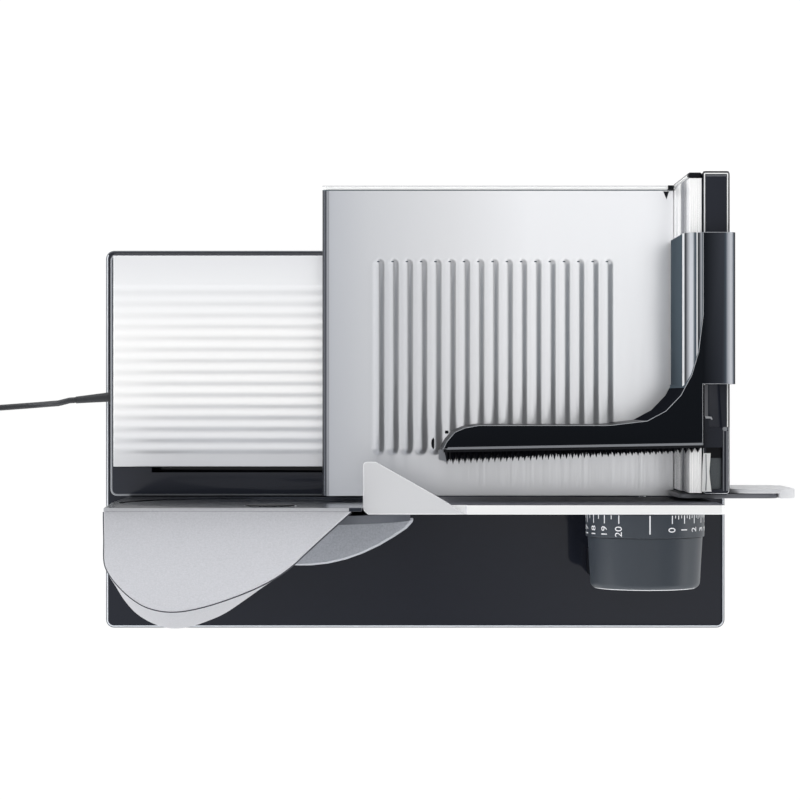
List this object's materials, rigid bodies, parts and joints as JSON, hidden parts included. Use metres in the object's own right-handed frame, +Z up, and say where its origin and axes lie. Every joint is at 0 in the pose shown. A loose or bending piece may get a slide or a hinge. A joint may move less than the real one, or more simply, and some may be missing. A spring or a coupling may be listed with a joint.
{
  "type": "electric food slicer",
  "caption": "Electric food slicer with a round blade, sliding carriage, spiked food holder, thickness dial and mains cord on a dark glass base.",
  "frame": {"origin": "on the table, under the middle of the machine's own bounding box, measured without the cord", "axes": "+X along the blade's cutting plane towards the carriage grip, +Y across towards the far end of the carriage, +Z up"},
  "size_m": [0.5459, 0.268, 0.222],
  "materials": {
    "dark_glass": "dark tinted glass, polished edges",
    "black_gloss": "glossy black moulded plastic",
    "black_satin": "satin black glass-filled plastic",
    "rubber": "soft black rubber",
    "brushed_steel": "brushed stainless sheet with pressed ribs",
    "bright_steel": "polished stainless steel",
    "aluminium": "satin anodised aluminium",
    "silver_paint": "fine-textured silver-grey paint",
    "guard_grey": "light grey moulded plastic",
    "dial_grey": "anthracite moulded plastic, white figures",
    "gear_plastic": "natural acetal",
    "bronze": "sintered bronze",
    "motor_steel": "zinc-plated steel",
    "cord_black": "black flexible cord sheath"
  },
  "bodies": {
    "base": {"glass_plate": "dark_glass", "foot_1": "rubber", "foot_2": "rubber", "foot_3": "rubber", "foot_4": "rubber", "base_housing": "black_gloss", "ribbed_tray": "brushed_steel", "guide_rail": "bright_steel", "switch_frame": "black_satin", "tower_sheet": "bright_steel", "tower_frame": "silver_paint", "motor_housing": "silver_paint", "motor_cover": "silver_paint", "slice_deflector": "silver_paint", "blade_bush": "bronze", "idler_axle": "motor_steel", "motor": "motor_steel", "rod_bush_left": "bronze", "rod_bush_right": "bronze", "stop_pedestal": "black_satin", "cam_post": "aluminium", "cam_follower": "bright_steel", "strain_relief": "cord_black", "cord": "cord_black", "cord_coil": "cord_black", "cord_tail": "cord_black", "plug": "cord_black"},
    "carriage": {"carriage_plate": "brushed_steel", "carriage_wall": "aluminium", "wall_end_cap": "black_satin", "carriage_grip": "black_satin", "carriage_bracket": "aluminium", "slide_shoe": "gear_plastic", "thumb_guard_mount": "black_satin", "thumb_guard": "guard_grey"},
    "food_holder_body": {"food_holder": "black_satin", "spike_plate": "black_satin"},
    "stop": {"stop_plate": "aluminium", "finger_guard": "guard_grey", "stop_bracket": "aluminium", "guide_rod_left": "bright_steel", "guide_rod_right": "bright_steel", "dial_spindle": "bright_steel", "dial_screw": "bright_steel"},
    "dial": {"dial_knob": "dial_grey", "dial_scale_ring": "dial_grey", "cam_drum": "gear_plastic"},
    "blade_unit": {"blade": "bright_steel", "blade_shaft": "motor_steel", "blade_gear": "gear_plastic"},
    "lock": {"blade_lock": "black_satin"},
    "idler": {"idler_gear": "gear_plastic"},
    "rotor": {"motor_pinion": "motor_steel", "motor_shaft": "motor_steel"},
    "switch": {"switch_button": "black_gloss"}
  },
  "joints": [
    {"name": "carriage_slide", "type": "slide", "parent": "base", "child": "carriage", "axis": [-1, 0, 0], "range_m": [0, 0.19]},
    {"name": "food_holder_slide", "type": "slide", "parent": "carriage", "child": "food_holder_body", "axis": [0, -1, 0], "range_m": [-0.033, 0.016]},
    {"name": "thickness_slide", "type": "slide", "parent": "base", "child": "stop", "axis": [0, -1, 0], "range_m": [0, 0.0218]},
    {"name": "dial_turn", "type": "hinge", "parent": "stop", "child": "dial", "pos_m": [0.12135, -0.06115, 0.085], "axis": [0, -1, 0], "range_deg": [0, 334]},
    {"name": "blade_spin", "type": "hinge", "parent": "base", "child": "blade_unit", "pos_m": [-0.09655, -0.05385, 0.132], "axis": [0, 1, 0], "continuous": true},
    {"name": "idler_spin", "type": "hinge", "parent": "base", "child": "idler", "pos_m": [-0.12494, -0.06835, 0.15247], "axis": [0, 1, 0], "continuous": true},
    {"name": "motor_spin", "type": "hinge", "parent": "base", "child": "rotor", "pos_m": [-0.14057, -0.06835, 0.14], "axis": [0, 1, 0], "continuous": true},
    {"name": "blade_lock_turn", "type": "hinge", "parent": "blade_unit", "child": "lock", "pos_m": [-0.09655, -0.05385, 0.132], "axis": [0, 1, 0], "range_deg": [0, 90]},
    {"name": "switch_press", "type": "slide", "parent": "base", "child": "switch", "axis": [-1, 0, 0], "range_m": [0, 0.0025], "stiffness_N_per_m": 600, "springref_m": -0.002}
  ],
  "couplings": [
    {"joint": "dial_turn", "follows": "thickness_slide", "rad_per_m": 267.39},
    {"joint": "idler_spin", "follows": "blade_spin", "ratio": -1.8},
    {"joint": "motor_spin", "follows": "blade_spin", "ratio": 3}
  ]
}
